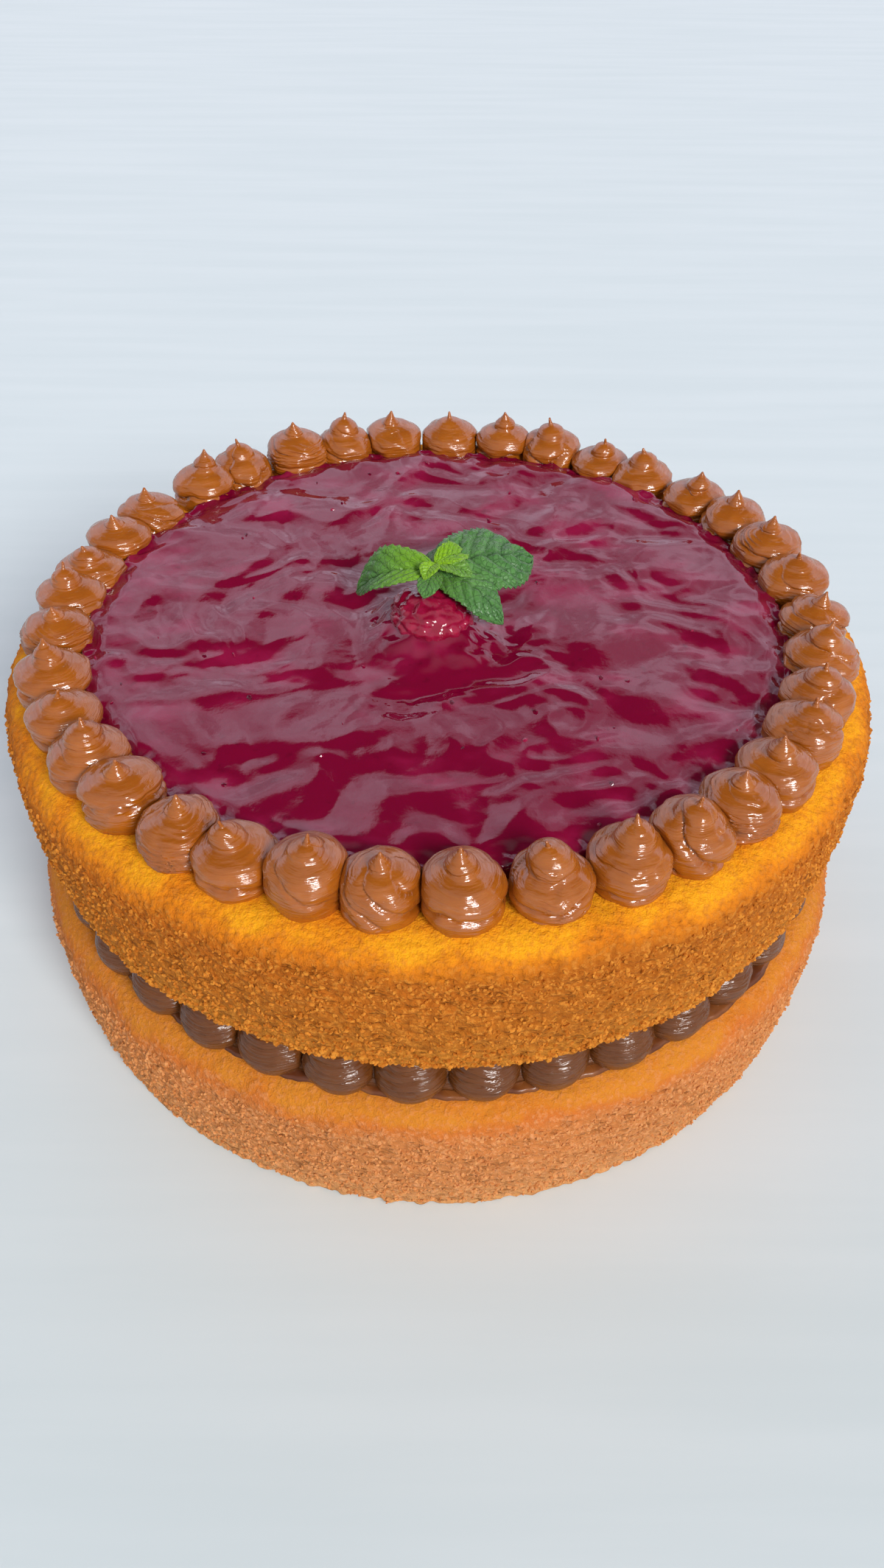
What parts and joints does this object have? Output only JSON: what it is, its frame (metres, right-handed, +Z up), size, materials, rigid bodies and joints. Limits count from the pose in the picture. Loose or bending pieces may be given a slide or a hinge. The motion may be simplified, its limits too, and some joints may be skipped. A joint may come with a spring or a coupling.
{
  "type": "victoria sponge cake",
  "caption": "Round two-layer sponge cake with a piped caramel filling, a ring of caramel kisses round a pool of berry jam, and a berry with a mint sprig in the middle.",
  "frame": {"origin": "under the middle of the cake, on the plane it rests on: the middle of the bottom of its box", "axes": "+Z up; the front of the cake, which faces the viewer, is towards -Y; +X is the viewer's right"},
  "size_m": [0.245, 0.2468, 0.1348],
  "materials": {
    "sponge_lower": "paler browned sponge crust, crumbly, golden on its shoulder",
    "sponge_upper": "browned sponge crust, crumbly, golden yellow on its shoulder",
    "filling": "thick dark caramel, finely ridged where it was pressed out, with a seep of jam",
    "kiss": "piped milk caramel, smooth, folded and glossy",
    "jam": "dark crimson berry jam, wet and mirror glossy",
    "berry": "whole red berry coated in jam, wet",
    "mint": "fresh mint leaf, veined, with a soft sheen, paler yellow green in the bud"
  },
  "bodies": {
    "root": {"sponge_lower": "sponge_lower", "sponge_upper": "sponge_upper", "filling": "filling", "jam": "jam", "kiss_01": "kiss", "kiss_02": "kiss", "kiss_03": "kiss", "kiss_04": "kiss", "kiss_05": "kiss", "kiss_06": "kiss", "kiss_07": "kiss", "kiss_08": "kiss", "kiss_09": "kiss", "kiss_10": "kiss", "kiss_11": "kiss", "kiss_12": "kiss", "kiss_13": "kiss", "kiss_14": "kiss", "kiss_15": "kiss", "kiss_16": "kiss", "kiss_17": "kiss", "kiss_18": "kiss", "kiss_19": "kiss", "kiss_20": "kiss", "kiss_21": "kiss", "kiss_22": "kiss", "kiss_23": "kiss", "kiss_24": "kiss", "kiss_25": "kiss", "kiss_26": "kiss", "kiss_27": "kiss", "kiss_28": "kiss", "kiss_29": "kiss", "kiss_30": "kiss", "kiss_31": "kiss", "kiss_32": "kiss", "kiss_33": "kiss", "kiss_34": "kiss", "kiss_35": "kiss", "kiss_36": "kiss", "kiss_37": "kiss", "berry": "berry", "mint_sprig": "mint"}
  },
  "joints": []
}
